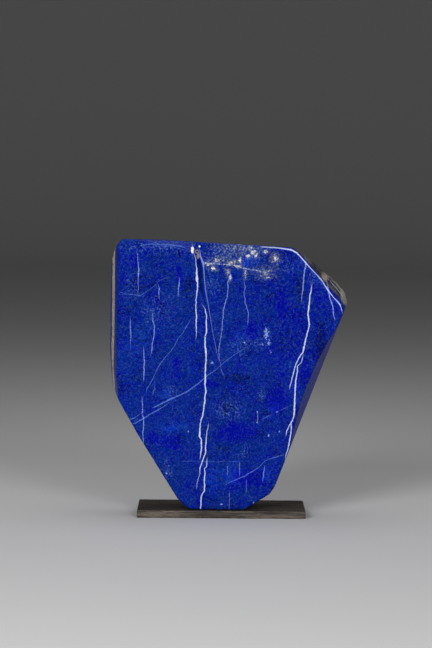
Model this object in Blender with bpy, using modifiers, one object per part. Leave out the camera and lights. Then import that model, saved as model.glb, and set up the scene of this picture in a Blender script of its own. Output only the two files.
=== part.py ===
# Polished free-form slab of lapis lazuli, standing on a thin wooden board.
# +X is the right of the front face, +Y runs from the front to the back, +Z is up.
# The origin is on the floor under the middle of the object.

import math

import bmesh
import bpy
from mathutils import Matrix, Vector

# Board, in metres
boardWidth = 0.176
boardDepth = 0.078
boardHeight = 0.008
boardEdge = 0.0008
boardShift = -0.0052

# Stone, in metres
seatGap = 0.0003
slabFront = -0.0375
slabDepth = 0.0620
slabShift = -0.0032
edgeRound = 0.0026
edgeSteps = 3

# Facets around the front outline, clockwise: the start and the end of the facet's front edge as
# x and height above the board in millimetres, then how far it leans out by the back face.
sideFacets = {
    "foot": ((22, 0), (-36, 0), 0),
    "footLeft": ((-35, -1.2), (-47.5, 11), 0),
    "lowerLeft": ((-46.5, 9.5), (-89.6, 78.7), 2),
    "middleLeft": ((-89.6, 78.7), (-111, 116.5), 3),
    "cornerLeft": ((-110, 114.5), (-111.4, 131), 8),
    "sideLeft": ((-111.4, 131), (-111.6, 190), 11.6),
    "sideUpperLeft": ((-111.6, 190), (-111, 268), 10.6),
    "shoulderLeft": ((-111, 275.2), (-106.2, 282.6), 3),
    "topLeft": ((-106, 282.1), (-42, 281.3), -3),
    "topRight": ((-42, 280.4), (68, 274.7), -3),
    "shoulderRight": ((66.8, 275.0), (76, 268.8), 3),
    "bevelRight": ((72, 272.4), (121.4, 216.6), 12),
    "tip": ((120.6, 217.6), (122.9, 208.4), 10),
    "sideRight": ((125.2, 212.6), (55.2, 29.6), 4),
    "lowerRight": ((56, 28.5), (48.5, 16.5), 0),
    "footRight": ((49, 17.3), (21, -1), 0),
}

# Facets of the front and the back: a point on the facet as millimetres across, behind the front
# face and above the board, then the way it faces.
broadFacets = {
    "frontLeft": ((-20, 0, 150), (-0.022, -1, 0.004)),
    "frontRight": ((-20, 0, 150), (0.018, -1, 0.002)),
    "frontLow": ((-20, 0, 66), (0, -1, -0.045)),
    "back": ((0, 62, 150), (0.02, 1, 0.03)),
    "backLow": ((0, 62, 88), (0.05, 1, -0.11)),
    "backLeft": ((-113, 62, 190), (-0.64, 0.77, 0.04)),
    "backRight": ((116, 62, 205), (0.5, 0.84, 0.12)),
    "backTop": ((0, 62, 264), (0.06, 0.62, 0.78)),
    "backShoulder": ((106, 43, 246.5), (0.3, 0.62, 1.0)),
    "backCorner": ((-118, 45, 260), (-0.5, 0.31, 0.6)),
}

# Hollow-ground cheek along the right of the front face
cheekRadius = 0.328
cheekCentre = (392.8, 17.7)
cheekLean = 0.0105
cheekDepth = 0.030

# Ground slope at the top of the front face, right of the notch
slopeStart = (-29, 254.5)
slopeEnd = (38, 271.5)
slopeLean = math.radians(14)

# Ground wedge at the top of the front face, left of the notch
wedgeStart = (-84, 277.2)
wedgeEnd = (-34.5, 269.2)
wedgeLean = math.radians(48)

# Split groove running down from the notch
grooveTop = (-33.4, 284.5)
grooveEnd = (-0.6, 138.0)
grooveRadius = 0.0040
groovePit = (-29.2, 269.3)
pitRadius = 0.0032


def onFace(x, height, y=slabFront):
    """A point of the front face, from millimetres across and above the board."""
    return Vector((x / 1000 + slabShift, y, height / 1000 + boardHeight + seatGap))


def newMaterial(name, colour, roughness):
    material = bpy.data.materials.new(name)
    material.use_nodes = True
    shader = material.node_tree.nodes["Principled BSDF"]
    shader.inputs["Base Color"].default_value = (*colour, 1)
    shader.inputs["Roughness"].default_value = roughness
    shader.inputs["Metallic"].default_value = 0
    return material


def newObject(name, bm, collection, material=None):
    mesh = bpy.data.meshes.new(name)
    bmesh.ops.recalc_face_normals(bm, faces=bm.faces)
    bm.to_mesh(mesh)
    bm.free()
    created = bpy.data.objects.new(name, mesh)
    collection.objects.link(created)
    if material:
        mesh.materials.append(material)
    return created


def cutFacet(bm, point, normal):
    """Take away what lies outside a plane and close the cut with one face."""
    geometry = bm.verts[:] + bm.edges[:] + bm.faces[:]
    cut = bmesh.ops.bisect_plane(
        bm, geom=geometry, plane_co=point, plane_no=normal, dist=1e-7, clear_outer=True
    )
    rim = [item for item in cut["geom_cut"] if isinstance(item, bmesh.types.BMEdge)]
    if rim:
        bmesh.ops.edgeloop_fill(bm, edges=rim)


def facetNormal(start, end, flare):
    """Outward normal of a facet that leans out by flare from the front to the back."""
    along = (Vector((end[0], 0, end[1])) - Vector((start[0], 0, start[1]))).normalized()
    outward = Vector((-along.z, 0, along.x))
    inward = outward * flare / 1000 + Vector((0, slabDepth, 0))
    normal = along.cross(inward).normalized()
    return normal if normal.dot(outward) > 0 else -normal


def subtract(target, cutter):
    cutter.hide_render = True
    cutter.display_type = "WIRE"
    modifier = target.modifiers.new(cutter.name, "BOOLEAN")
    modifier.operation = "DIFFERENCE"
    modifier.solver = "EXACT"
    modifier.object = cutter


for old in list(bpy.data.objects):
    bpy.data.objects.remove(old, do_unlink=True)

parts = bpy.data.collections.new("lapis_lazuli_slab")
cutters = bpy.data.collections.new("cutters")
bpy.context.scene.collection.children.link(parts)
bpy.context.scene.collection.children.link(cutters)

lapis = newMaterial("lapis", (0.006, 0.021, 0.25), 0.16)
darkWood = newMaterial("dark_wood", (0.075, 0.055, 0.045), 0.62)

# Stone: a block cut down facet by facet
stoneMesh = bmesh.new()
blockMiddle = onFace(0, 140, slabFront + slabDepth / 2)
bmesh.ops.create_cube(
    stoneMesh,
    size=1,
    matrix=Matrix.Translation(blockMiddle) @ Matrix.Diagonal((0.30, slabDepth, 0.32, 1)),
)
for start, end, flare in sideFacets.values():
    cutFacet(stoneMesh, onFace(*start), facetNormal(start, end, flare))
for point, normal in broadFacets.values():
    place = onFace(point[0], point[2], slabFront + point[1] / 1000)
    cutFacet(stoneMesh, place, Vector(normal).normalized())
stone = newObject("lapis_stone", stoneMesh, parts, lapis)

rounding = stone.modifiers.new("Polished edges", "BEVEL")
rounding.width = edgeRound
rounding.segments = edgeSteps
rounding.limit_method = "ANGLE"
rounding.angle_limit = math.radians(14)

# Cheek: a shallow cone side, widest in the middle of the right edge
cheekMesh = bmesh.new()
coneTurn = Matrix.Rotation(math.radians(-90), 4, "X")
cheekHalf = cheekDepth / 2 + 0.004
bmesh.ops.create_cone(
    cheekMesh,
    cap_ends=True,
    segments=120,
    radius1=cheekRadius + cheekLean * 0.004 / cheekDepth,
    radius2=cheekRadius - cheekLean * (1 + 0.004 / cheekDepth),
    depth=2 * cheekHalf,
    matrix=Matrix.Translation(onFace(*cheekCentre, slabFront + cheekDepth / 2)) @ coneTurn,
)
subtract(stone, newObject("cheek_cutter", cheekMesh, cutters))


def groundFlat(name, start, end, lean, past):
    """A box whose back face takes a slanting flat off the top of the front face, between two points
    and as far past each of them as past says."""
    whole = past[0] + math.dist(start, end) / 1000 + past[1]
    rise = math.atan2(end[1] - start[1], end[0] - start[0])
    reach = 0.05
    flat = bmesh.new()
    bmesh.ops.create_cube(
        flat,
        size=1,
        matrix=Matrix.Translation((whole / 2 - past[0], -0.5 * reach, 0.5 * reach))
        @ Matrix.Diagonal((whole, reach, 2 * reach, 1)),
    )
    turn = Matrix.Rotation(-rise, 4, "Y") @ Matrix.Rotation(-lean, 4, "X")
    flat.transform(Matrix.Translation(onFace(*start)) @ turn)
    return newObject(name, flat, cutters)


subtract(stone, groundFlat("slope_cutter", slopeStart, slopeEnd, slopeLean, (0.0, 0.03)))
subtract(stone, groundFlat("wedge_cutter", wedgeStart, wedgeEnd, wedgeLean, (0.03, 0.0035)))

# Groove: a slim cone lying in the face, with a round pit near its top
grooveStartPoint = onFace(*grooveTop, slabFront - 0.0012)
grooveEndPoint = onFace(*grooveEnd, slabFront - 0.0002)
grooveRun = grooveEndPoint - grooveStartPoint
grooveMesh = bmesh.new()
bmesh.ops.create_cone(
    grooveMesh,
    cap_ends=True,
    segments=14,
    radius1=grooveRadius,
    radius2=0.0003,
    depth=grooveRun.length,
    matrix=Matrix.Translation((grooveStartPoint + grooveEndPoint) / 2)
    @ grooveRun.to_track_quat("Z", "Y").to_matrix().to_4x4(),
)
subtract(stone, newObject("groove_cutter", grooveMesh, cutters))

pitMesh = bmesh.new()
bmesh.ops.create_uvsphere(
    pitMesh,
    u_segments=16,
    v_segments=10,
    radius=pitRadius,
    matrix=Matrix.Translation(onFace(*groovePit, slabFront + 0.0022)),
)
subtract(stone, newObject("pit_cutter", pitMesh, cutters))

# Board: a flat plank with its edges just broken
boardMesh = bmesh.new()
bmesh.ops.create_cube(
    boardMesh,
    size=1,
    matrix=Matrix.Translation((boardShift, 0, boardHeight / 2))
    @ Matrix.Diagonal((boardWidth, boardDepth, boardHeight, 1)),
)
board = newObject("wood_board", boardMesh, parts, darkWood)
wornEdges = board.modifiers.new("Worn edges", "BEVEL")
wornEdges.width = boardEdge
wornEdges.segments = 2
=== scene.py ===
import math

import bmesh
import bpy
from mathutils import Matrix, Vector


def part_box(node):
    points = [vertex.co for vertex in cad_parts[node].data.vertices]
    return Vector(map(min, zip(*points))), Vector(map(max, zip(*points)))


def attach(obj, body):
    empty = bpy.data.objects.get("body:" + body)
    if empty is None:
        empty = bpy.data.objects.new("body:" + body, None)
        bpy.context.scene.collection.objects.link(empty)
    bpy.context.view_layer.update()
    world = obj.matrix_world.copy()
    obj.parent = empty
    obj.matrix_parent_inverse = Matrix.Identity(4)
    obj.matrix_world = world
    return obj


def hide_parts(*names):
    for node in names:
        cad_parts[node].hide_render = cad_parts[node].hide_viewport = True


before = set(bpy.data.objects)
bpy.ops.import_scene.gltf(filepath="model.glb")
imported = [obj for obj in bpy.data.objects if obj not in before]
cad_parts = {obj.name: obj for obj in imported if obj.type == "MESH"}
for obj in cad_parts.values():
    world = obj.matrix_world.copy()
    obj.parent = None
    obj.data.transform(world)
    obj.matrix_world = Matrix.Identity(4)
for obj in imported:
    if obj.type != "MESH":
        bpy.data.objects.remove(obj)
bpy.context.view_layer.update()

scene = bpy.context.scene
print("frame loaded")


# Node building
class Wire:
    # one output socket that takes part in Python arithmetic
    def __init__(self, graph, socket):
        self.graph = graph
        self.socket = socket

    def calc(self, operation, *values):
        return self.graph.add("ShaderNodeMath", {"operation": operation}, dict(enumerate(values)))

    def __add__(self, other):
        return self.calc("ADD", self, other)

    def __sub__(self, other):
        return self.calc("SUBTRACT", self, other)

    def __rsub__(self, other):
        return self.calc("SUBTRACT", other, self)

    def __mul__(self, other):
        return self.calc("MULTIPLY", self, other)

    def __truediv__(self, other):
        return self.calc("DIVIDE", self, other)

    def __rtruediv__(self, other):
        return self.calc("DIVIDE", other, self)

    def __abs__(self):
        return self.calc("ABSOLUTE", self)

    __radd__ = __add__
    __rmul__ = __mul__

    def most(self, other):
        return self.calc("MAXIMUM", self, other)

    def least(self, other):
        return self.calc("MINIMUM", self, other)

    def clamped(self):
        return self.graph.add("ShaderNodeMath", {"operation": "ADD", "use_clamp": True}, {0: self, 1: 0.0})


class Graph:
    # a node tree under construction
    def __init__(self, tree):
        self.tree = tree

    def add(self, kind, settings=None, inputs=None, out=0):
        node = self.tree.nodes.new(kind)
        for name, value in (settings or {}).items():
            if name == "stops":
                fillRamp(node.color_ramp, value)
            elif name == "points":
                fillCurve(node.mapping, value)
            else:
                setattr(node, name, value)
        for key, value in (inputs or {}).items():
            if isinstance(value, Wire):
                self.tree.links.new(value.socket, node.inputs[key])
            else:
                node.inputs[key].default_value = value
        return Wire(self, node.outputs[out])

    def mix(self, factor, first, second, blend="MIX"):
        settings = {"data_type": "RGBA", "blend_type": blend}
        return self.add("ShaderNodeMix", settings, {0: factor, 6: first, 7: second}, 2)

    def vector(self, operation, *values, out=0):
        return self.add("ShaderNodeVectorMath", {"operation": operation}, dict(enumerate(values)), out)

    def scaled(self, vector, scale):
        return self.add("ShaderNodeVectorMath", {"operation": "SCALE"}, {0: vector, "Scale": scale})

    def split(self, vector):
        node = self.add("ShaderNodeSeparateXYZ", {}, {0: vector}).socket.node
        return [Wire(self, socket) for socket in node.outputs]

    def noise(self, vector, scale, detail=2.0, roughness=0.5, out=0, distortion=0.0):
        inputs = {"Vector": vector, "Scale": scale, "Detail": detail, "Roughness": roughness,
                  "Distortion": distortion}
        return self.add("ShaderNodeTexNoise", {"noise_dimensions": "3D"}, inputs, out)

    def step(self, value, low, high):
        # 0 at low, 1 at high, eased between
        inputs = {0: value, 1: low, 2: high, 3: 0.0, 4: 1.0}
        return self.add("ShaderNodeMapRange", {"clamp": True, "interpolation_type": "SMOOTHSTEP"}, inputs)


def fillRamp(ramp, stops):
    while len(ramp.elements) < len(stops):
        ramp.elements.new(0.5)
    for element, (position, colour) in zip(ramp.elements, stops):
        element.position = position
        element.color = (*colour, 1.0)


def fillCurve(mapping, points):
    curve = mapping.curves[0]
    mapping.extend = "HORIZONTAL"
    while len(curve.points) < len(points):
        curve.points.new(0.5, 0.5)
    for point, place in zip(curve.points, points):
        point.location = place
        point.handle_type = "VECTOR"
    mapping.update()


def newMaterial(name, constants):
    # a material with one Principled shader, whose even values are set on its own sockets
    material = bpy.data.materials.new(name)
    material.use_nodes = True
    shader = material.node_tree.nodes["Principled BSDF"]
    for label, value in constants.items():
        shader.inputs[label].default_value = value
    return material, Graph(material.node_tree), shader


def feed(graph, shader, wires):
    for label, wire in wires.items():
        graph.tree.links.new(wire.socket, shader.inputs[label])


def newGeometryTree(name, inputs):
    tree = bpy.data.node_groups.new(name, "GeometryNodeTree")
    tree.interface.new_socket("Geometry", in_out="INPUT", socket_type="NodeSocketGeometry")
    for label, (kind, value) in inputs.items():
        socket = tree.interface.new_socket(label, in_out="INPUT", socket_type="NodeSocket" + kind)
        if value is not None:
            socket.default_value = value
    tree.interface.new_socket("Geometry", in_out="OUTPUT", socket_type="NodeSocketGeometry")
    graph = Graph(tree)
    entry = tree.nodes.new("NodeGroupInput")
    return graph, {socket.name: Wire(graph, socket) for socket in entry.outputs if socket.name}


def endGeometryTree(graph, geometry, material):
    geometry = graph.add("GeometryNodeRealizeInstances", {}, {0: geometry})
    geometry = graph.add("GeometryNodeSetMaterial", {}, {0: geometry, 2: material})
    exitNode = graph.tree.nodes.new("NodeGroupOutput")
    graph.tree.links.new(geometry.socket, exitNode.inputs[0])


def addTree(piece, graph, values):
    modifier = piece.modifiers.new(graph.tree.name, "NODES")
    modifier.node_group = graph.tree
    for item in graph.tree.interface.items_tree:
        if item.in_out == "INPUT" and item.name in values:
            modifier[item.identifier] = values[item.name]


def settle(piece):
    # the modifiers' result becomes the piece's plain mesh
    depsgraph = bpy.context.evaluated_depsgraph_get()
    mesh = bpy.data.meshes.new_from_object(piece.evaluated_get(depsgraph), depsgraph=depsgraph)
    piece.modifiers.clear()
    piece.data = mesh
    mesh.name = piece.name
    mesh.polygons.foreach_set("use_smooth", [True] * len(mesh.polygons))


def newPiece(name, mesh):
    piece = bpy.data.objects.new(name, mesh)
    scene.collection.objects.link(piece)
    return piece


# Camera
view = {"place": (-0.0122, -2.4525, 0.386), "lens": 130.0, "pitchDown": 4.335, "roll": 0.45}
cameraData = bpy.data.cameras.new("camera")
cameraData.lens = view["lens"]
cameraData.clip_start = 0.05
camera = newPiece("camera", cameraData)
camera.matrix_world = (Matrix.Translation(view["place"])
                       @ Matrix.Rotation(math.radians(90 - view["pitchDown"]), 4, "X")
                       @ Matrix.Rotation(math.radians(view["roll"]), 4, "Z"))
scene.camera = camera
scene.view_settings.view_transform = "Standard"


# Studio
studio = {"floorTone": 0.62, "skyTone": 0.62, "skyStrength": 0.10, "flatRadius": 5.0, "sweepRadius": 2.5,
          "wallHeight": 4.0}
softboxes = {
    "keyLeft": {"place": (-0.95, -1.75, 0.95), "size": (0.7, 1.1), "power": 27.0},
    "keyRight": {"place": (0.80, -1.85, 0.85), "size": (0.6, 1.0), "power": 17.0},
    "topSoft": {"place": (0.05, 0.10, 1.60), "size": (1.2, 0.9), "power": 6.0},
}


def makeStudio():
    profile = [(0.02, 0.0), (studio["flatRadius"], 0.0)]
    for degrees in range(10, 91, 10):
        turn = math.radians(degrees)
        profile.append((studio["flatRadius"] + studio["sweepRadius"] * math.sin(turn),
                        studio["sweepRadius"] * (1 - math.cos(turn))))
    profile.append((profile[-1][0], studio["wallHeight"]))
    bowl = bmesh.new()
    ringSize = 96
    rings = []
    for radius, height in profile:
        rings.append([bowl.verts.new((radius * math.cos(2 * math.pi * i / ringSize),
                                      radius * math.sin(2 * math.pi * i / ringSize), height))
                      for i in range(ringSize)])
    bowl.faces.new(rings[0])
    for inner, outer in zip(rings, rings[1:]):
        for i in range(ringSize):
            j = (i + 1) % ringSize
            bowl.faces.new((inner[i], outer[i], outer[j], inner[j]))
    mesh = bpy.data.meshes.new("studioFloor")
    bowl.to_mesh(mesh)
    bowl.free()
    mesh.polygons.foreach_set("use_smooth", [True] * len(mesh.polygons))
    floor = newPiece("studioFloor", mesh)
    tone = studio["floorTone"]
    material = newMaterial("studioFloor", {"Base Color": (tone, tone, tone * 1.01, 1), "Roughness": 0.9,
                                           "Specular IOR Level": 0.1})[0]
    mesh.materials.append(material)


def makeLights():
    for name, values in softboxes.items():
        data = bpy.data.lights.new(name, "AREA")
        data.shape = "RECTANGLE"
        data.size, data.size_y = values["size"]
        data.energy = values["power"]
        light = newPiece(name, data)
        light.location = values["place"]
        aim = Matrix.Translation((0, 0, 0.14)).translation - light.location
        light.rotation_euler = aim.to_track_quat("-Z", "Y").to_euler()
    world = bpy.data.worlds.new("studioWorld")
    scene.world = world
    world.use_nodes = True
    backdrop = world.node_tree.nodes["Background"]
    tone = studio["skyTone"]
    backdrop.inputs[0].default_value = (tone, tone, tone, 1)
    backdrop.inputs[1].default_value = studio["skyStrength"]


makeStudio()
makeLights()
print("camera and studio ready")


# Lapis: colours and veins
# Places are in millimetres. A strand is a list of (along, across, half width): a sheet through the stone.
lapisColours = {
    "teal": (0.0010, 0.0180, 0.215, 1),
    "violet": (0.0004, 0.0022, 0.270, 1),
    # shade is the stone's own dark navy, and is also laid as painted shade on the groove floor and in the
    # small hollow
    "shade": (0.0002, 0.0022, 0.075, 1),
    "brightTeal": (0.0040, 0.0400, 0.380, 1),
    "brightViolet": (0.0016, 0.0080, 0.420, 1),
    "grain": (0.105, 0.225, 0.540, 1),
    "greyGrain": (0.120, 0.215, 0.480, 1),
    "vein": (0.62, 0.70, 0.92, 1),
    "faintVein": (0.30, 0.42, 0.88, 1),
    # pale blue of the fine cracks, also used for the painted highlight along the top edge left of the notch
    "hairlineAndHighlight": (0.150, 0.280, 0.820, 1),
    "white": (0.86, 0.86, 0.86, 1),
    "cream": (0.56, 0.52, 0.45, 1),
    "sage": (0.24, 0.31, 0.26, 1),
    "tan": (0.30, 0.22, 0.15, 1),
    "slate": (0.014, 0.015, 0.030, 1),
    "grey": (0.170, 0.160, 0.160, 1),
}

# sheets that stand upright and cross the whole thickness, as (height, x, half width)
throughVeins = {
    "main": [(60, -28, 0), (64, -27.5, 0.9), (71, -26.4, 1.2), (77, -26.2, 1.3), (82.5, -26.8, 1.3),
             (85.6, -28.7, 1.5), (94, -28, 1.2), (100, -27.7, 1.1), (104, -26.6, 1.2), (108, -24.9, 1.2),
             (121, -23.5, 1.3), (134, -22.3, 1.3), (141, -23.1, 1.2), (147, -22.6, 1.7), (152, -22.8, 1.3),
             (168, -22.3, 1.3), (175, -22.6, 1.7), (182, -23.4, 1.2), (189, -23.4, 1.3), (194, -22, 1.3),
             (206, -22.3, 1.2), (214, -22.6, 1.0), (218, -23.4, 0.8), (223, -27, 0.3), (225, -28, 0)],
    "second": [(29, -31.5, 0), (32, -30.6, 0.6), (37.7, -30.2, 0.7), (46.7, -28.1, 0.8), (52, -27.7, 1.1),
               (57, -26.2, 1.1), (61.5, -24.6, 1.2), (66, -23.2, 1.2), (71, -22.1, 1.2), (75, -22.1, 1.2),
               (81, -21.6, 1.2), (86, -20.8, 1.0), (91, -20.7, 0.9), (95, -19.6, 0.8), (103, -18.7, 0)],
    "third": [(8, -26.4, 1.2), (15, -25.8, 1.3), (22.4, -25.9, 1.3), (26, -24.9, 1.3), (28.2, -22.8, 1.3),
              (45.7, -22.9, 1.2), (52, -22.7, 1.0), (54, -20.9, 1.0), (59.4, -20.4, 0.8), (66, -20, 0)],
    "upper": [(183, -33.3, 0), (191, -32.3, 0.7), (202, -32.6, 1.1), (215, -32.8, 1.2), (227, -33.1, 1.0),
              (237.5, -31.8, 1.1), (245, -32.1, 1.2), (249.4, -32.2, 2.3), (253, -32.3, 1.5),
              (260.3, -32.8, 1.2), (270.6, -33.9, 0.8), (280, -36.5, 0.6), (290, -37, 0)],
    "right": [(134, 64, 0), (137.3, 65.1, 0.8), (142.6, 66.1, 1.0), (153, 68.4, 1.1), (162.4, 71.3, 1.1),
              (170, 75.2, 1.3), (174, 78.2, 1.4), (183, 80.2, 1.3), (195.7, 83.2, 1.2), (202, 84.6, 1.4),
              (212.5, 83.4, 1.4), (222.9, 84.2, 1.3), (231.2, 84.8, 1.2), (239.5, 86.3, 1.0),
              (249, 86.9, 0)],
    "rightLow": [(84, 61, 0), (90, 62, 0.9), (98, 65, 1.1), (100, 66.5, 1.3), (104, 68.6, 1.3),
                 (113, 70, 1.4), (125, 70.1, 1.4), (143, 70.8, 1.3), (154, 72.7, 1.2), (159.3, 72.7, 1.0),
                 (163.5, 76.8, 0.8), (168, 78, 0.9), (174, 78.8, 0)],
    "rightFork": [(60, 60, 0), (63, 61.2, 0.8), (67, 61.7, 1.0), (71.5, 63.7, 1.1), (77, 64.5, 1.2),
                  (86, 66.2, 1.2), (96, 67.1, 1.2), (101, 66.5, 0.8), (103, 66.5, 0)],
}

# upright veins that only reach a little way in from the front
frontVeins = {
    "bevelDown": [(222, 75.6, 0), (228, 76, 0.6), (232.1, 76.5, 0.8), (240.4, 77.5, 0.9),
                  (249.8, 78.2, 1.1), (256, 78.8, 1.1), (265.3, 80.3, 1.3), (268, 80.5, 0.8)],
    "tipBranch": [(206, 110.9, 0), (208.5, 110.9, 0.7), (214.8, 109.3, 1.0), (222, 108.7, 1.1),
                  (231.3, 105.5, 1.3), (240.1, 103.3, 1.3)],
    "middle": [(141, -2, 0), (149, -4, 0.4), (159, -7.2, 0.5), (168, -8.8, 0.6), (178.5, -8.9, 0.8),
               (191, -6.9, 0.8), (201, -5.5, 0.8), (212, -5.2, 0.8), (221, -4.1, 0.9), (229.4, -1.5, 0.9),
               (238, -0.1, 0.8), (246, -0.1, 0.9), (251, 1.4, 1.2), (258, 3, 0)],
    "leftInner": [(76, -86.6, 0), (78, -86.6, 0.9), (88, -87.4, 0.8), (97.5, -86.5, 1.0),
                  (104, -86.7, 0.9), (110, -88, 1.0), (117.4, -87.5, 0.9), (123, -88.4, 0.8),
                  (129, -88.4, 0), (142, -87, 0), (144, -87, 0.7), (149, -86.5, 0.9), (157, -86.7, 0.9),
                  (162, -86, 1.0), (174, -86.8, 0.8), (181, -87.2, 0), (234, -92.7, 0), (237, -92.7, 0.6),
                  (247, -92.7, 0.7), (257, -92.2, 1.1), (266, -92.8, 0.7), (276, -93.9, 0.5),
                  (284, -94, 0)],
    "leftMiddle": [(168, -80, 0), (173, -78.8, 0.7), (181, -78, 0.9), (185, -77, 0.9), (189, -76.6, 1.0),
                   (194.5, -75.8, 0.9), (200, -75.9, 0.8), (206, -77.5, 0.8), (214, -78, 0.5),
                   (216, -78, 0), (227, -70.9, 0), (229, -70.9, 0.6), (235, -71.4, 0.8), (239, -70.9, 0.9),
                   (246, -73, 0)],
    "leftOuter": [(173, -100.6, 0), (176, -100.6, 0.6), (180, -100.7, 0.2), (183, -100.7, 0.8),
                  (195, -100.4, 0.8), (204, -100.8, 0.7), (213, -100.8, 0), (230, -51.7, 0),
                  (232, -51.7, 0.7), (237, -51.3, 0.9), (242.5, -50.8, 1.0), (248, -50.3, 0.8),
                  (254, -50.8, 0)],
    "centre": [(200, 20.9, 0), (204, 20.9, 0.6), (214, 21.4, 0.7), (218, 20.3, 0.7), (225, 18.1, 0.7),
               (236, 16.5, 0.6), (241, 17.5, 0.7), (245, 16.4, 0.6), (255, 16.4, 0)],
    "footOne": [(9, 3.7, 0.5), (26, 3.6, 0.6), (28, 3.6, 0), (44, 1, 0), (46, 1, 0.7), (54, 1, 0.7),
                (57, 1, 0)],
    "footTwo": [(26, 20.9, 0), (28, 20.9, 0.6), (40, 20.8, 0.5), (41.5, 20.8, 0), (43, 13.5, 0),
                (45, 13.5, 0.6), (58, 13.4, 0.7), (60, 13.4, 0), (99, 31.7, 0), (102, 31.7, 0.8),
                (111, 31.6, 0.7), (113, 31.6, 0)],
    "footThree": [(37, 37.5, 0), (40, 37.6, 0.6), (46, 38.5, 0.8), (54, 39.4, 0.6), (57, 39.4, 0)],
}

# fine healed cracks, upright ones as (height, x, half width)
steepHairlines = {
    "arc": [(129, -83.8, 0), (133, -83.8, 0.6), (141, -79.7, 0.6), (150, -75.1, 0.6), (157, -72, 0.6),
            (165.5, -66.3, 0.6), (174, -59.1, 0.6), (180, -54.5, 0.6), (186.5, -52, 0.6),
            (193, -46.8, 0.6), (202, -41.7, 0.6), (206, -38.6, 0.5), (212, -36, 0)],
    "arcFork": [(127, -78.5, 0), (130, -77, 0.6), (135, -75.5, 0.6), (140, -75, 0.6), (151, -75.1, 0)],
}

# the split groove below the notch, as (height, x, half width): its floor, darkened with painted shade, and
# its right edge, lightened with a painted highlight
grooveShade = [(149, -5, 0), (163, -8.3, 0.5), (181, -11.5, 0.8), (196, -16.2, 1.0), (214, -20.5, 1.0),
               (225, -24.0, 1.5), (237.5, -27.5, 2.2), (253.1, -28.6, 2.6), (266.5, -30.2, 2.2),
               (272, -31.5, 1.4), (276, -32, 0)]
grooveLipHighlight = [(158, -8, 0), (175.4, -11.5, 0.5), (196.1, -15.8, 0.5), (227.2, -21.2, 0.6),
             (237.6, -23.3, 0.7), (247.9, -24.4, 0.8), (260, -25.4, 0.8), (264.5, -25.7, 1.2),
             (268.5, -27, 1.5), (272.7, -28.8, 1.2), (278, -29.4, 0.5), (283, -29.9, 0)]
creaseLine = [(-27, 267, 0), (-25.6, 266.5, 1.3), (-20.4, 265.5, 1.2), (-13.2, 265.6, 1.1),
              (-2.9, 264.6, 1.0), (3.3, 264.2, 1.0), (9.5, 262.7, 1.0), (15.8, 261.2, 1.1),
              (22, 259.7, 1.0), (30.2, 258.7, 0.9), (36.5, 256.7, 1.0), (43.7, 255.7, 0)]

# the flatter ones as (x, height, half width)
flatHairlines = {
    "diagonal": [(-79, 114, 0), (-76, 115.4, 0.8), (-69, 119.3, 1.0), (-58, 124.8, 1.1),
                 (-48.5, 128.7, 1.0), (-40, 133.5, 1.1), (-33, 138.3, 1.0), (-28, 142.5, 0.9),
                 (-24, 146, 0.8), (-19.6, 150.4, 0.8), (-10, 156.7, 0.6), (-2, 164.5, 0.6), (9, 172, 0.5),
                 (21, 180, 0.5), (26, 183, 0)],
    "diagonalLower": [(-101, 97, 0), (-95, 98.8, 1.0), (-90, 102, 1.0), (-85, 105, 1.0), (-78, 109.5, 0.8),
                      (-69, 114.5, 0.7), (-62, 119, 0.6), (-58, 123, 0)],
    "diagonalHigh": [(-103, 102, 0), (-101, 102.6, 0.7), (-97, 103.7, 0.7), (-92, 107, 0.6), (-86, 111, 0)],
    "topLeft": [(-114, 235, 0), (-111, 234.7, 0.5), (-106, 233.2, 0.6), (-98, 232.7, 0.6),
                (-90.6, 231.8, 0.6), (-84, 236.5, 0.5), (-80, 239, 0.5), (-70, 248, 0.5),
                (-65, 249.6, 0.4), (-60, 253, 0)],
    "low": [(-3, 33.5, 0), (0, 35.3, 0.6), (8, 39.6, 0.7), (18, 44, 0.8), (25, 48.2, 0.9), (34, 53.5, 0.7),
            (40, 61, 0.5), (50, 64, 0.7), (57, 66.2, 0.6), (62, 68, 0)],
    "rightDashes": [(33, 102, 0), (38, 104.8, 0.6), (45, 108, 0.6), (47, 109, 0), (53, 112.5, 0),
                    (55.5, 113.3, 0.6), (62, 116.4, 0.6), (65, 118, 0)],
    "footLevel": [(-48, 59, 0), (-46, 59.2, 0.4), (14, 59.7, 0.4), (17, 59.7, 0)],
}

# a white vein along the top right and down the front arris of the bevel, as (x, height, half width)
arrisVeins = {
    "bevelArris": [(30, 283, 0), (35.2, 283, 0.9), (43.5, 282.6, 1.0), (51.7, 282.1, 1.1),
                   (59, 281.1, 1.3), (65.2, 280.2, 1.6), (70.9, 277.1, 1.8), (75.6, 272, 1.7),
                   (80.3, 266.8, 1.7), (83.9, 262.7, 1.5), (90.2, 256.1, 1.1), (96.5, 249.4, 1.6),
                   (101.8, 241.1, 1.7), (109.1, 231.4, 1.2), (113.3, 227.2, 1.2), (116.4, 223.1, 2.2),
                   (118.1, 217.9, 1.6), (119.5, 212, 0)],
}

# a second line on the bevel itself, as (x, y, half width)
bevelLine = [(106, -1, 0), (107, -2, 1.5), (109, -7.2, 3), (114.5, -5.5, 3), (120, -8.6, 3), (121, -10, 0)]

# painted highlight: pale lines along the top edge of the stone left of the notch, as (x, height, half width)
wedgeHighlightLines = {
    "upper": [(-92, 283.4, 0), (-90.8, 283.6, 0.6), (-80.5, 285.2, 0.8), (-70.1, 284.8, 0.8),
              (-59.8, 284.3, 0.8), (-49.5, 282.9, 0.8), (-41.2, 280.4, 0)],
    "lower": [(-90.5, 280.4, 0), (-75.3, 283.2, 0.5), (-59.8, 282.8, 0.6), (-47.4, 279.8, 0.6),
              (-39.1, 276.8, 0)],
}

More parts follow.
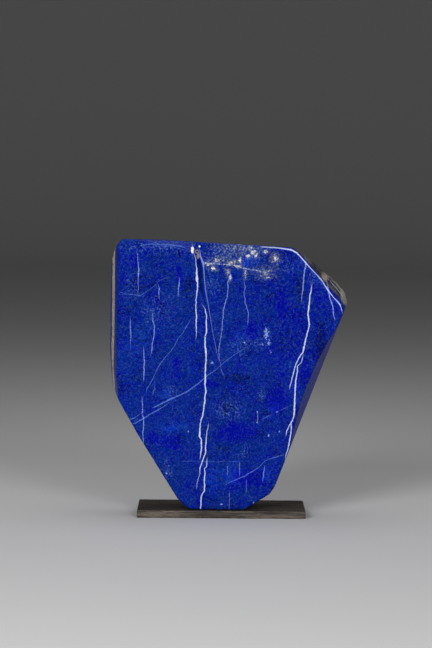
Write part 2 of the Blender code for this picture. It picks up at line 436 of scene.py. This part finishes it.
# patches as (x, height, x radius, height radius, strength)
creamPatches = [
    (-15.8, 260.4, 4.5, 2.5, 1.2), (-20.4, 264.5, 4, 2, 0.9), (-0.8, 258.4, 2.2, 4.5, 0.9),
    (1.9, 251.2, 2, 4.5, 1.5), (17.4, 255.5, 2, 4, 0.9), (11.1, 263.2, 4, 2, 0.9),
    (12.1, 269.4, 2.5, 3.2, 1.2), (20.8, 273.6, 3, 3, 1.2), (25.9, 277.8, 4, 3.2, 1.5),
    (29.1, 274.2, 2.5, 3.5, 1.0), (38.3, 278.4, 4, 2.2, 1.5), (47.7, 271.2, 4.5, 4.5, 0.75),
    (38.5, 256.7, 6, 4, 0.5), (-10.1, 269.2, 7, 3.5, 0.6), (4.3, 266.8, 5, 3, 0.6),
    (22.8, 281.9, 5, 2, 0.7), (9.4, 281.3, 10, 4, 0.35), (41.7, 251.5, 2.5, 1.0, 0.9),
]
violetPatches = [
    (7.5, 90, 26, 12, 1.3), (51.2, 124.8, 14, 16, 1.3), (-56.4, 79.6, 14, 10, 0.9),
    (-77.2, 84.1, 8, 8, 0.8), (22.9, 42, 20, 12, 1.0), (-15.3, 140, 10, 6, 0.9),
    (-52.8, 162.6, 6, 10, 0.9), (-97.3, 268, 5, 8, 0.8), (25.6, 196.5, 8, 14, 0.9),
    (55.4, 222.6, 8, 20, 0.9), (81, 150.1, 10, 10, 0.9), (-50.3, 252.9, 5, 10, 0.8),
]
brightPatches = [
    (-63, 127.1, 14, 10, 0.9), (-54.9, 94.8, 20, 8, 0.9), (48.8, 115.4, 14, 18, 0.9),
    (70.7, 140.6, 10, 10, 0.8), (-15.6, 39.6, 12, 25, 0.9), (5.2, 45, 20, 20, 0.8),
    (39.4, 50.5, 12, 18, 0.8), (-48.4, 275.6, 6, 5, 0.8), (-90.3, 184.1, 18, 25, 0.5),
    (13.3, 189.1, 14, 14, 0.5), (22.9, 269, 12, 14, 0.7),
]
darkPatches = [
    (-41, 243.6, 6, 12, 0.9), (10.5, 147.5, 20, 8, 0.8), (-0.6, 115, 12, 12, 0.6),
    (97.2, 185.6, 12, 25, 1.0), (74.8, 244.5, 10, 20, 0.8), (-90.6, 243.2, 20, 20, 0.4),
    (-110.8, 139.2, 6, 12, 0.8),
]
speckledPatches = [
    (2.5, 115.1, 16, 14, 1.0), (16.5, 179.8, 12, 12, 1.0), (-72.9, 218.5, 20, 14, 0.5),
    (-97.8, 243.2, 10, 16, 0.5), (17.4, 70.2, 8, 8, 0.9), (-61.4, 49.7, 6, 16, 0.9),
    (-56.8, 129.2, 8, 8, 0.8), (-16.1, 243.8, 8, 8, 0.9), (62.2, 264.1, 9, 9, 0.9),
    (36.6, 129.9, 9, 9, 0.8), (90.2, 253, 9, 9, 1.0), (-70, 284, 40, 7, 1.1), (5, 276, 50, 11, 1.1),
    (40.2, 192.4, 5, 12, 1.5), (28, 182, 10, 8, 0.9),
]
palePatches = [
    (40.2, 192.4, 3, 9, 1.0), (42.3, 183, 2.5, 5, 0.9), (36.1, 182, 2, 2, 0.9), (44.5, 173.7, 2, 2, 0.9),
    (17.5, 183.9, 1.8, 1.8, 0.8), (31.6, 112, 1.6, 1.6, 1.0), (31.7, 100.6, 1.6, 1.6, 1.0),
    (54.7, 91.3, 1.6, 1.6, 1.0), (43.3, 87, 1.6, 1.6, 1.0), (52.4, 112, 1.6, 1.6, 1.0),
    (-39.9, 90.7, 1.6, 1.6, 1.0), (-5, 14, 1.6, 1.6, 1.0), (28.9, 16.5, 1.6, 1.6, 1.0),
    (-15.5, 162.4, 1.6, 1.6, 1.0), (-62.5, 46.4, 1.6, 1.6, 1.0),
]


def strand(graph, along, across, ragged, points, soft, thin=1.0):
    # mask of a sheet that follows the points, drawn by two curves: its path and its half width
    places, paths, widths = zip(*points)
    start, span = places[0], places[-1] - places[0]
    low, high = min(paths) - 1, max(paths) + 1
    broad = max(widths)
    position = (along - start) / span
    pathPoints = [((a - start) / span, (p - low) / (high - low)) for a, p in zip(places, paths)]
    widthPoints = [((a - start) / span, w / broad) for a, w in zip(places, widths)]
    path = graph.add("ShaderNodeFloatCurve", {"points": pathPoints}, {1: position})
    width = graph.add("ShaderNodeFloatCurve", {"points": widthPoints}, {1: position})
    offset = abs(across - (path * (high - low) + low)) * ragged
    return (width * (broad * thin / soft) - offset / soft).clamped()


def strandSet(graph, along, across, ragged, strands, soft, thin=1.0):
    total = None
    for points in strands.values():
        mask = strand(graph, along, across, ragged, points, soft, thin)
        total = mask if total is None else total.most(mask)
    return total


def patchField(graph, place, patches):
    # 1 times the strength in the middle of a patch, 0 at its rim, falling on outside
    field = None
    for px, pz, rx, rz, strength in patches:
        scaled = graph.add("ShaderNodeVectorMath", {"operation": "MULTIPLY_ADD"},
                           {0: place, 1: (1 / rx, 0.0, 1 / rz), 2: (-px / rx, 0.0, -pz / rz)})
        fall = (1.0 - graph.vector("LENGTH", scaled, out="Value")) * strength
        field = fall if field is None else field.most(fall)
    return field


def sideLayer(graph, place, ruffle):
    # layer of host rock in the left side
    x, y, z = graph.split(place)
    middle = graph.step(z, 175.0, 130.0) * 9.0 - 6.5
    layer = graph.step(abs(y - middle) + (ruffle - 0.5) * 9.0, 11.0, 9.0)
    return layer * graph.step(x, -112.0, -115.0) * graph.step(z, 122.0, 128.0)


def bevelRock(graph, place, ruffle):
    # host rock outside the front arris of the bevel at the top right
    x, y, z = graph.split(place)
    outside = x * 0.749 + z * 0.663 - 237.6
    rock = graph.step(outside + (ruffle - 0.5) * 3.0, 0.3, 2.2)
    return rock * graph.step(x, 62.0, 74.0) * graph.step(z, 203.0, 212.0)


lapisLook = {"veinWander": 2.6, "curl": 30.0, "grainAmount": 7.0, "lineStrength": 0.15,
             "frontRoughness": 0.15, "sideRoughness": 0.35, "polishDepth": (3.0, 7.0),
             "bumpStrength": 0.35, "bumpDistance": 0.00012, "frontPlane": -37.5}


def makeLapis():
    material, graph, shader = newMaterial("polishedLapis", {"Specular IOR Level": 0.20,
                                                            "Specular Tint": (0.05, 0.18, 1, 1)})
    objectPlace = graph.add("ShaderNodeTexCoord", {}, {}, "Object")
    place = graph.scaled(objectPlace, 1000.0)
    x, y, z = graph.split(place)
    depth = y - lapisLook["frontPlane"]                  # from the front face inwards

    # veins wander a little, and drift sideways through the thickness
    wander = graph.split(graph.noise(place, 0.14, 3.0, 0.6, out=1))
    drift = graph.noise(place, 0.012, 1.0)
    wanderX = (wander[0] - 0.5) * lapisLook["veinWander"]
    wanderZ = (wander[2] - 0.5) * lapisLook["veinWander"]
    acrossX = x + wanderX + depth * ((drift - 0.5) * 0.7 + 0.06)
    acrossZ = z + wanderZ + depth * ((drift - 0.5) * 0.8 - 0.10)
    nearFront = graph.step(depth, 30.0, 12.0)
    grainBreak = graph.noise(place, 0.9, 2.0, 0.6)
    ragged = 0.45 + graph.noise(place, 0.45, 2.0, 0.6) * 1.4
    veins = strandSet(graph, z, acrossX, ragged, throughVeins, 0.6, 0.72)
    shallow = strandSet(graph, z, acrossX, ragged, frontVeins, 0.7, 0.85) * nearFront
    steep = strandSet(graph, z, acrossX, ragged, steepHairlines, 0.6) * nearFront
    flat = strandSet(graph, x, acrossZ, ragged, flatHairlines, 0.6) * nearFront
    # painted highlight along the top edge left of the notch
    wedgeHighlight = strandSet(graph, x, z, ragged, wedgeHighlightLines, 0.8) * graph.step(depth, 24.0, 16.0)
    arris = strandSet(graph, x, z, ragged, arrisVeins, 0.8, 0.75) * graph.step(depth, 7.0, 3.0)
    # painted highlight: the groove's right edge is lightened in the colour
    lipHighlight = strand(graph, z, x, ragged, grooveLipHighlight, 0.6) * nearFront
    # painted shade: the groove's floor is darkened in the colour
    grooveFloorShade = strand(graph, z, x, ragged, grooveShade, 0.9) * nearFront
    veins = veins * graph.step(grainBreak, 0.22, 0.42)
    shallow = shallow * graph.step(grainBreak, 0.30, 0.52)
    hairlinesAndHighlight = steep.most(flat).most(wedgeHighlight) * graph.step(grainBreak, 0.32, 0.54)

    # slow warp that curls the texture, and noises from coarse to fine
    warp = graph.vector("SUBTRACT", graph.noise(place, 0.05, 1.0, out=1), (0.5, 0.5, 0.5))
    curled = graph.vector("ADD", place, graph.scaled(warp, lapisLook["curl"]))
    cloud = graph.noise(place, 0.05, 4.0, 0.62)
    cloudTwo = graph.noise(graph.vector("ADD", place, (310.0, 90.0, 40.0)), 0.045, 3.0, 0.6)
    weave = graph.noise(curled, 0.20, 3.0, 0.65)
    weaveTwo = graph.noise(graph.vector("ADD", curled, (70.0, 20.0, 150.0)), 0.34, 3.0, 0.65)
    fine = graph.noise(place, 0.52, 3.0, 0.7)

    # hue from teal to violet, then lighter and darker zones
    violet = patchField(graph, place, violetPatches).most(0.0)
    glow = patchField(graph, place, brightPatches).most(0.0)
    dark = patchField(graph, place, darkPatches).most(0.0)
    speckled = patchField(graph, place, speckledPatches) + (cloudTwo - 0.5) * 2.0
    speckled = graph.step(speckled, -0.2, 0.7)
    hue = violet * 1.4 + glow * 0.1 + graph.step(x, 0.0, 90.0) * 0.22
    hue = graph.step(hue + (cloud - 0.5) * 1.6 + (weave - 0.5) * 2.2, -0.35, 0.65)
    calm = 1.0 - violet.least(1.0) * 0.6
    base = graph.mix(hue, lapisColours["teal"], lapisColours["violet"])
    light = (cloudTwo - 0.5) * 0.9 + (weaveTwo - 0.5) * 2.4 * calm
    brightColour = graph.mix(hue, lapisColours["brightTeal"], lapisColours["brightViolet"])
    base = graph.mix(graph.step(light + glow * 0.8, 0.10, 0.80), base, brightColour)
    base = graph.mix(graph.step(light - dark * 0.6, 0.0, -0.50) * 0.9, base, lapisColours["shade"])

    # grains: many faint ones and few strong ones, then thin curled lines
    much = (0.55 + speckled * 1.5 + graph.step(z, 262.0, 278.0) * 0.5) * calm
    over = (fine - 0.5).most(0.0)
    base = graph.mix((over * over * much * lapisLook["grainAmount"]).clamped(), base, lapisColours["grain"])
    ridge = 1.0 - abs(graph.noise(curled, 0.30, 2.0, 0.6) - 0.5) * 2.0
    lines = graph.step(ridge, 0.86, 0.98) * graph.step(fine, 0.40, 0.62) * calm
    lines = lines * (lapisLook["lineStrength"] + speckled * 0.34)
    base = graph.mix(lines, base, lapisColours["greyGrain"])
    palePoints = graph.step(patchField(graph, place, palePatches) + (fine - 0.5) * 4.0, 0.35, 0.85)
    base = graph.mix(palePoints * 0.8, base, lapisColours["faintVein"])

    # pale host rock at the crease of the slope
    broken = graph.noise(place, 0.26, 4.0, 0.68)
    tint = graph.noise(place, 0.16, 2.0, 0.5)
    creamField = patchField(graph, place, creamPatches)
    haze = graph.step(creamField + (broken - 0.5) * 3.0, -1.0, 0.5) * graph.step(depth, 20.0, 6.0)
    base = graph.mix(haze * (0.10 + graph.step(fine, 0.42, 0.62) * 0.30), base, lapisColours["sage"])
    pale = graph.step(creamField + (broken - 0.5) * 3.2, 0.10, 0.85) * graph.step(creamField, -0.9, 0.1)
    pale = pale * graph.step(depth, 26.0, 6.0)
    paleColour = graph.mix(graph.step(tint, 0.45, 0.60), lapisColours["cream"], lapisColours["sage"])
    paleColour = graph.mix(graph.step(creamField + (fine - 0.5) * 1.5, 0.45, 0.95), paleColour,
                           lapisColours["white"])
    base = graph.mix(pale * (0.30 + graph.step(fine, 0.40, 0.60) * 0.60), base, paleColour)
    crease = strand(graph, x, z, ragged, creaseLine, 0.8) * nearFront * graph.step(grainBreak, 0.44, 0.60)
    base = graph.mix(crease * 0.7, base, lapisColours["vein"])

    # host rock in the left side and on the bevel
    ruffle = graph.noise(place, 0.08, 4.0, 0.6)
    layer = sideLayer(graph, place, ruffle)
    layerColour = graph.mix(graph.step(broken, 0.42, 0.60), lapisColours["cream"], lapisColours["tan"])
    base = graph.mix(layer, base, layerColour)
    rock = bevelRock(graph, place, ruffle)
    slope = x * 0.663 - z * 0.749
    streakPlace = graph.add("ShaderNodeCombineXYZ", {}, {0: slope * 0.05, 1: y * 0.16, 2: 0.0})
    streak = graph.noise(streakPlace, 1.0, 4.0, 0.65)
    rockColour = graph.mix(graph.step(streak + (fine - 0.5) * 0.3, 0.42, 0.62), lapisColours["slate"],
                           lapisColours["grey"])
    rockSpot = graph.step(patchField(graph, place, [(101, 251, 8, 8, 1.0), (83, 266, 5, 5, 0.4)])
                          + (broken - 0.5) * 3.0, 0.30, 0.65)
    rockColour = graph.mix(rockSpot, rockColour, layerColour)
    fringe = graph.step(depth + (broken - 0.5) * 30.0, 38.0, 46.0) * graph.step(x, 84.0, 92.0)
    rim = graph.step(x + (broken - 0.5) * 6.0, 116.5, 119.0)
    rockColour = graph.mix((rim * 0.6).most(fringe * 0.5), rockColour, lapisColours["cream"])
    rockLine = strand(graph, x, y, ragged, bevelLine, 2.0) * rock
    rockColour = graph.mix(rockLine * 0.8, rockColour, lapisColours["vein"])
    base = graph.mix(rock, base, rockColour)

    # groove floor in painted shade, the small hollow at its top in painted shade, and the white knot beside
    # it
    base = graph.mix(grooveFloorShade * 0.80, base, lapisColours["shade"])
    tanStreak = patchField(graph, place, [(-31.3, 272.7, 2.2, 4.2, 1.0), (-32.4, 277.5, 2.8, 2.8, 1.4)])
    base = graph.mix(graph.step(tanStreak + (fine - 0.5) * 1.2, 0.1, 0.6) * 0.8, base, lapisColours["tan"])
    # painted shade: the small hollow at the top of the groove is darkened in the colour
    pitShade = patchField(graph, place, [(-32.4, 277.5, 1.3, 1.3, 1.0)])
    base = graph.mix(graph.step(pitShade, 0.0, 0.5), base, lapisColours["shade"])
    knot = patchField(graph, place, [(-37.1, 279.4, 2.0, 4.4, 1.2), (-29.9, 283, 1.4, 1.4, 0.9)])
    knot = graph.step(knot + (fine - 0.5) * 0.8, 0.1, 0.5) * graph.step(depth, 14.0, 8.0)
    base = graph.mix(knot, base, lapisColours["white"])

    # fine cracks in pale blue, together with the painted highlight along the top edge left of the notch
    base = graph.mix(hairlinesAndHighlight * 0.72, base, lapisColours["hairlineAndHighlight"])
    base = graph.mix(shallow * 0.85, base, lapisColours["faintVein"])
    # painted highlight on the right edge of the groove
    base = graph.mix(lipHighlight * 0.55, base, lapisColours["faintVein"])
    white = veins.most(arris)
    base = graph.mix(white, base, lapisColours["vein"])

    # ground sides are less polished than the front
    satin = graph.step(depth, *lapisLook["polishDepth"])
    rough = satin * (lapisLook["sideRoughness"] - lapisLook["frontRoughness"]) + lapisLook["frontRoughness"]
    rough = rough + over * 0.15 + white * 0.14 + pale * 0.2 + layer * 0.25 + rock * 0.15
    relief = (fine - 0.5) * 0.4 - white * 0.8 - pale * 0.6 + (broken - 0.5) * (layer + rock) * 3.0
    normal = graph.add("ShaderNodeBump", {}, {"Strength": lapisLook["bumpStrength"],
                                              "Distance": lapisLook["bumpDistance"], "Height": relief})
    feed(graph, shader, {"Base Color": base, "Roughness": rough, "Normal": normal})
    return material


# Lapis: shape
stoneShape = {"cell": 0.00136, "waveHeight": 0.00035, "waveSize": 0.045, "rippleHeight": 0.00010,
              "rippleSize": 0.009, "chipDepth": 0.0007, "chipSize": 0.006, "softenRounds": 2,
              "grooveDepth": 0.0012, "rockRelief": 0.0004, "seed": 7}


def makeStone(material):
    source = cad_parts["lapis_stone"]
    shell = bmesh.new()
    shell.from_mesh(source.data)
    bmesh.ops.remove_doubles(shell, verts=shell.verts, dist=1e-6)
    mesh = bpy.data.meshes.new("lapisSlab")
    shell.to_mesh(mesh)
    shell.free()
    piece = newPiece("lapisSlab", mesh)
    remesh = piece.modifiers.new("evenCells", "REMESH")
    remesh.mode = "VOXEL"
    remesh.voxel_size = stoneShape["cell"]
    remesh.use_smooth_shade = True
    smooth = piece.modifiers.new("softEdges", "SMOOTH")
    smooth.factor = 0.5
    smooth.iterations = 1

    graph, inputs = newGeometryTree("handPolish", {
        "Wave Height": ("Float", 0.0), "Wave Size": ("Float", 0.05), "Ripple Height": ("Float", 0.0),
        "Ripple Size": ("Float", 0.01), "Chip Depth": ("Float", 0.0), "Chip Size": ("Float", 0.005),
        "Soften Rounds": ("Int", 0), "Groove Depth": ("Float", 0.0), "Rock Relief": ("Float", 0.0),
        "Seed": ("Int", 0), "Finish": ("Material", None)})
    spot = graph.add("GeometryNodeInputPosition")
    place = graph.scaled(spot, 1000.0)
    x, y, z = graph.split(place)
    front = graph.step(y, -20.0, -28.0)
    keepCrisp = strand(graph, z, x, 1.0, [(h, c, w + 4.0) for h, c, w in grooveShade], 3.0) * front
    softened = graph.add("GeometryNodeBlurAttribute", {"data_type": "FLOAT_VECTOR"},
                         {"Value": spot, "Iterations": inputs["Soften Rounds"], "Weight": 1.0 - keepCrisp})
    soft = graph.add("GeometryNodeSetPosition", {}, {"Geometry": inputs["Geometry"], "Position": softened})
    normal = graph.add("GeometryNodeInputNormal")
    softNormal = graph.add("GeometryNodeBlurAttribute", {"data_type": "FLOAT_VECTOR"},
                           {"Value": normal, "Iterations": 4})
    bend = 1.0 - graph.vector("DOT_PRODUCT", normal, softNormal, out="Value")
    edge = (bend * 60.0).clamped()

    def swell(size, detail):
        return graph.add("ShaderNodeTexNoise", {"noise_dimensions": "4D"},
                         {"W": inputs["Seed"] * 3.7, "Scale": 1.0 / size, "Detail": detail}) - 0.5

    height = swell(inputs["Wave Size"], 1.0) * inputs["Wave Height"]
    height = height + swell(inputs["Ripple Size"], 1.0) * inputs["Ripple Height"]
    chips = (swell(inputs["Chip Size"], 2.0) * 4.0).clamped() * edge
    height = height - chips * inputs["Chip Depth"]
    groove = strand(graph, z, x, 1.0, [(h, c, w * 1.1) for h, c, w in grooveShade], 2.2) * front
    height = height - groove * inputs["Groove Depth"]
    ruffle = swell(0.0125, 4.0) + 0.5
    rock = sideLayer(graph, place, ruffle) + bevelRock(graph, place, ruffle)
    height = height - rock * (swell(0.006, 3.0) + 0.35) * inputs["Rock Relief"]
    moved = graph.add("GeometryNodeSetPosition", {},
                      {"Geometry": soft, "Offset": graph.scaled(normal, height)})
    endGeometryTree(graph, moved, inputs["Finish"])
    addTree(piece, graph, {
        "Wave Height": stoneShape["waveHeight"], "Wave Size": stoneShape["waveSize"],
        "Ripple Height": stoneShape["rippleHeight"], "Ripple Size": stoneShape["rippleSize"],
        "Chip Depth": stoneShape["chipDepth"], "Chip Size": stoneShape["chipSize"],
        "Soften Rounds": stoneShape["softenRounds"], "Groove Depth": stoneShape["grooveDepth"],
        "Rock Relief": stoneShape["rockRelief"], "Seed": stoneShape["seed"], "Finish": material})
    settle(piece)
    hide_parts("lapis_stone")
    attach(piece, "root")
    print("stone:", len(piece.data.polygons), "faces")
    return piece


lapis = makeLapis()
makeStone(lapis)


# Board
boardShape = {"cellsAlong": 150, "cellsDeep": 66, "cellsHigh": 12, "edgeRadius": 0.0009,
              "wornRadius": 0.0007, "grainDepth": 0.00016, "sawDepth": 0.00006, "seed": 3}
boardColours = {
    # dark is the wood's dark grain, and is also laid on the board's top face as painted shade
    "wood": (0.075, 0.060, 0.048, 1), "pale": (0.175, 0.142, 0.112, 1), "dark": (0.020, 0.016, 0.013, 1),
    "pore": (0.010, 0.008, 0.007, 1),
}


def makeWood():
    material, graph, shader = newMaterial("stainedWood", {"Specular IOR Level": 0.3})
    objectPlace = graph.add("ShaderNodeTexCoord", {}, {}, "Object")
    place = graph.scaled(objectPlace, 1000.0)
    x, y, z = graph.split(place)
    bend = graph.scaled(graph.noise(place, 0.02, 2.0, out=1), 5.0)
    grainPlace = graph.vector("MULTIPLY", graph.vector("ADD", place, bend), (0.06, 1.0, 1.0))
    streak = graph.noise(grainPlace, 0.55, 4.0, 0.6)
    broad = graph.noise(grainPlace, 0.12, 2.0, 0.5)
    pore = graph.noise(graph.vector("MULTIPLY", place, (0.10, 1.0, 1.0)), 2.2, 2.0, 0.5)
    base = graph.mix(graph.step(streak, 0.36, 0.60), boardColours["dark"], boardColours["wood"])
    base = graph.mix(graph.step(broad + (streak - 0.5) * 0.8, 0.46, 0.66) * 0.75, base, boardColours["pale"])
    # painted shade: the top face of the board is darkened
    base = graph.mix(graph.step(z, 7.0, 7.8) * 0.5, base, boardColours["dark"])
    poreMask = graph.step(pore, 0.60, 0.68)
    base = graph.mix(poreMask * 0.7, base, boardColours["pore"])
    worn = graph.step(abs(x + 5.2), 86.0, 88.2).most(graph.step(abs(y), 37.0, 39.2))
    worn = worn * graph.step(abs(z - 4.0), 2.6, 4.1) * graph.step(graph.noise(place, 0.25, 3.0), 0.4, 0.6)
    base = graph.mix(worn * 0.5, base, boardColours["pale"])
    rough = 0.5 + (streak - 0.5) * 0.3 + poreMask * 0.2
    normal = graph.add("ShaderNodeBump", {}, {"Strength": 0.5, "Distance": 0.0002,
                                              "Height": streak - poreMask * 0.8})
    feed(graph, shader, {"Base Color": base, "Roughness": rough, "Normal": normal})
    return material


def makeBoard(material):
    low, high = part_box("wood_board")
    size, centre = high - low, (high + low) / 2
    graph, inputs = newGeometryTree("plank", {
        "Size": ("Vector", (0.1, 0.1, 0.01)), "Centre": ("Vector", (0, 0, 0)), "Cells Along": ("Int", 10),
        "Cells Deep": ("Int", 10), "Cells High": ("Int", 4), "Edge Radius": ("Float", 0.001),
        "Worn Radius": ("Float", 0.001), "Grain Depth": ("Float", 0.0001), "Saw Depth": ("Float", 0.0001),
        "Seed": ("Int", 0), "Finish": ("Material", None)})
    box = graph.add("GeometryNodeMeshCube", {}, {
        "Size": (2.0, 2.0, 2.0), "Vertices X": inputs["Cells Along"], "Vertices Y": inputs["Cells Deep"],
        "Vertices Z": inputs["Cells High"]})
    unit = graph.add("GeometryNodeInputPosition")
    # cells get narrower towards the edges, where the wood is rounded
    square = graph.vector("MULTIPLY", unit, unit)
    stretch = graph.add("ShaderNodeVectorMath", {"operation": "MULTIPLY_ADD"},
                        {0: square, 1: (-0.35, -0.35, -0.35), 2: (1.35, 1.35, 1.35)})
    half = graph.scaled(inputs["Size"], 0.5)
    spot = graph.vector("MULTIPLY", graph.vector("MULTIPLY", unit, stretch), half)
    wear = graph.add("ShaderNodeTexNoise", {"noise_dimensions": "4D"},
                     {"Vector": spot, "W": inputs["Seed"] * 1.3, "Scale": 90.0, "Detail": 2.0})
    radius = inputs["Edge Radius"] + (wear - 0.5).most(0.0) * inputs["Worn Radius"] * 6.0
    radiusVector = graph.add("ShaderNodeCombineXYZ", {}, {0: radius, 1: radius, 2: radius})
    inner = graph.vector("SUBTRACT", half, radiusVector)
    held = graph.vector("MAXIMUM", graph.vector("MINIMUM", spot, inner), graph.scaled(inner, -1.0))
    outward = graph.vector("NORMALIZE", graph.vector("SUBTRACT", spot, held))
    rounded = graph.vector("ADD", held, graph.scaled(outward, radius))
    grainSpot = graph.vector("MULTIPLY", spot, (0.05, 1.0, 1.0))
    grain = graph.add("ShaderNodeTexNoise", {"noise_dimensions": "4D"},
                      {"Vector": grainSpot, "W": inputs["Seed"] * 2.1, "Scale": 420.0, "Detail": 2.0})
    saw = graph.add("ShaderNodeTexNoise", {"noise_dimensions": "4D"},
                    {"Vector": graph.vector("MULTIPLY", spot, (1.0, 0.08, 0.08)), "W": inputs["Seed"] * 4.9,
                     "Scale": 260.0, "Detail": 1.0})
    sink = (grain - 0.25).clamped() * inputs["Grain Depth"] + (saw - 0.25).clamped() * inputs["Saw Depth"]
    shaped = graph.vector("SUBTRACT", rounded, graph.scaled(outward, sink * 2.0))
    moved = graph.add("GeometryNodeSetPosition", {},
                      {"Geometry": box, "Position": graph.vector("ADD", shaped, inputs["Centre"])})
    endGeometryTree(graph, moved, inputs["Finish"])

    piece = newPiece("woodBoard", bpy.data.meshes.new("woodBoard"))
    addTree(piece, graph, {
        "Size": size, "Centre": centre, "Cells Along": boardShape["cellsAlong"],
        "Cells Deep": boardShape["cellsDeep"], "Cells High": boardShape["cellsHigh"],
        "Edge Radius": boardShape["edgeRadius"], "Worn Radius": boardShape["wornRadius"],
        "Grain Depth": boardShape["grainDepth"], "Saw Depth": boardShape["sawDepth"],
        "Seed": boardShape["seed"], "Finish": material})
    settle(piece)
    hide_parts("wood_board")
    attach(piece, "root")
    print("board:", len(piece.data.polygons), "faces")
    return piece


wood = makeWood()
makeBoard(wood)
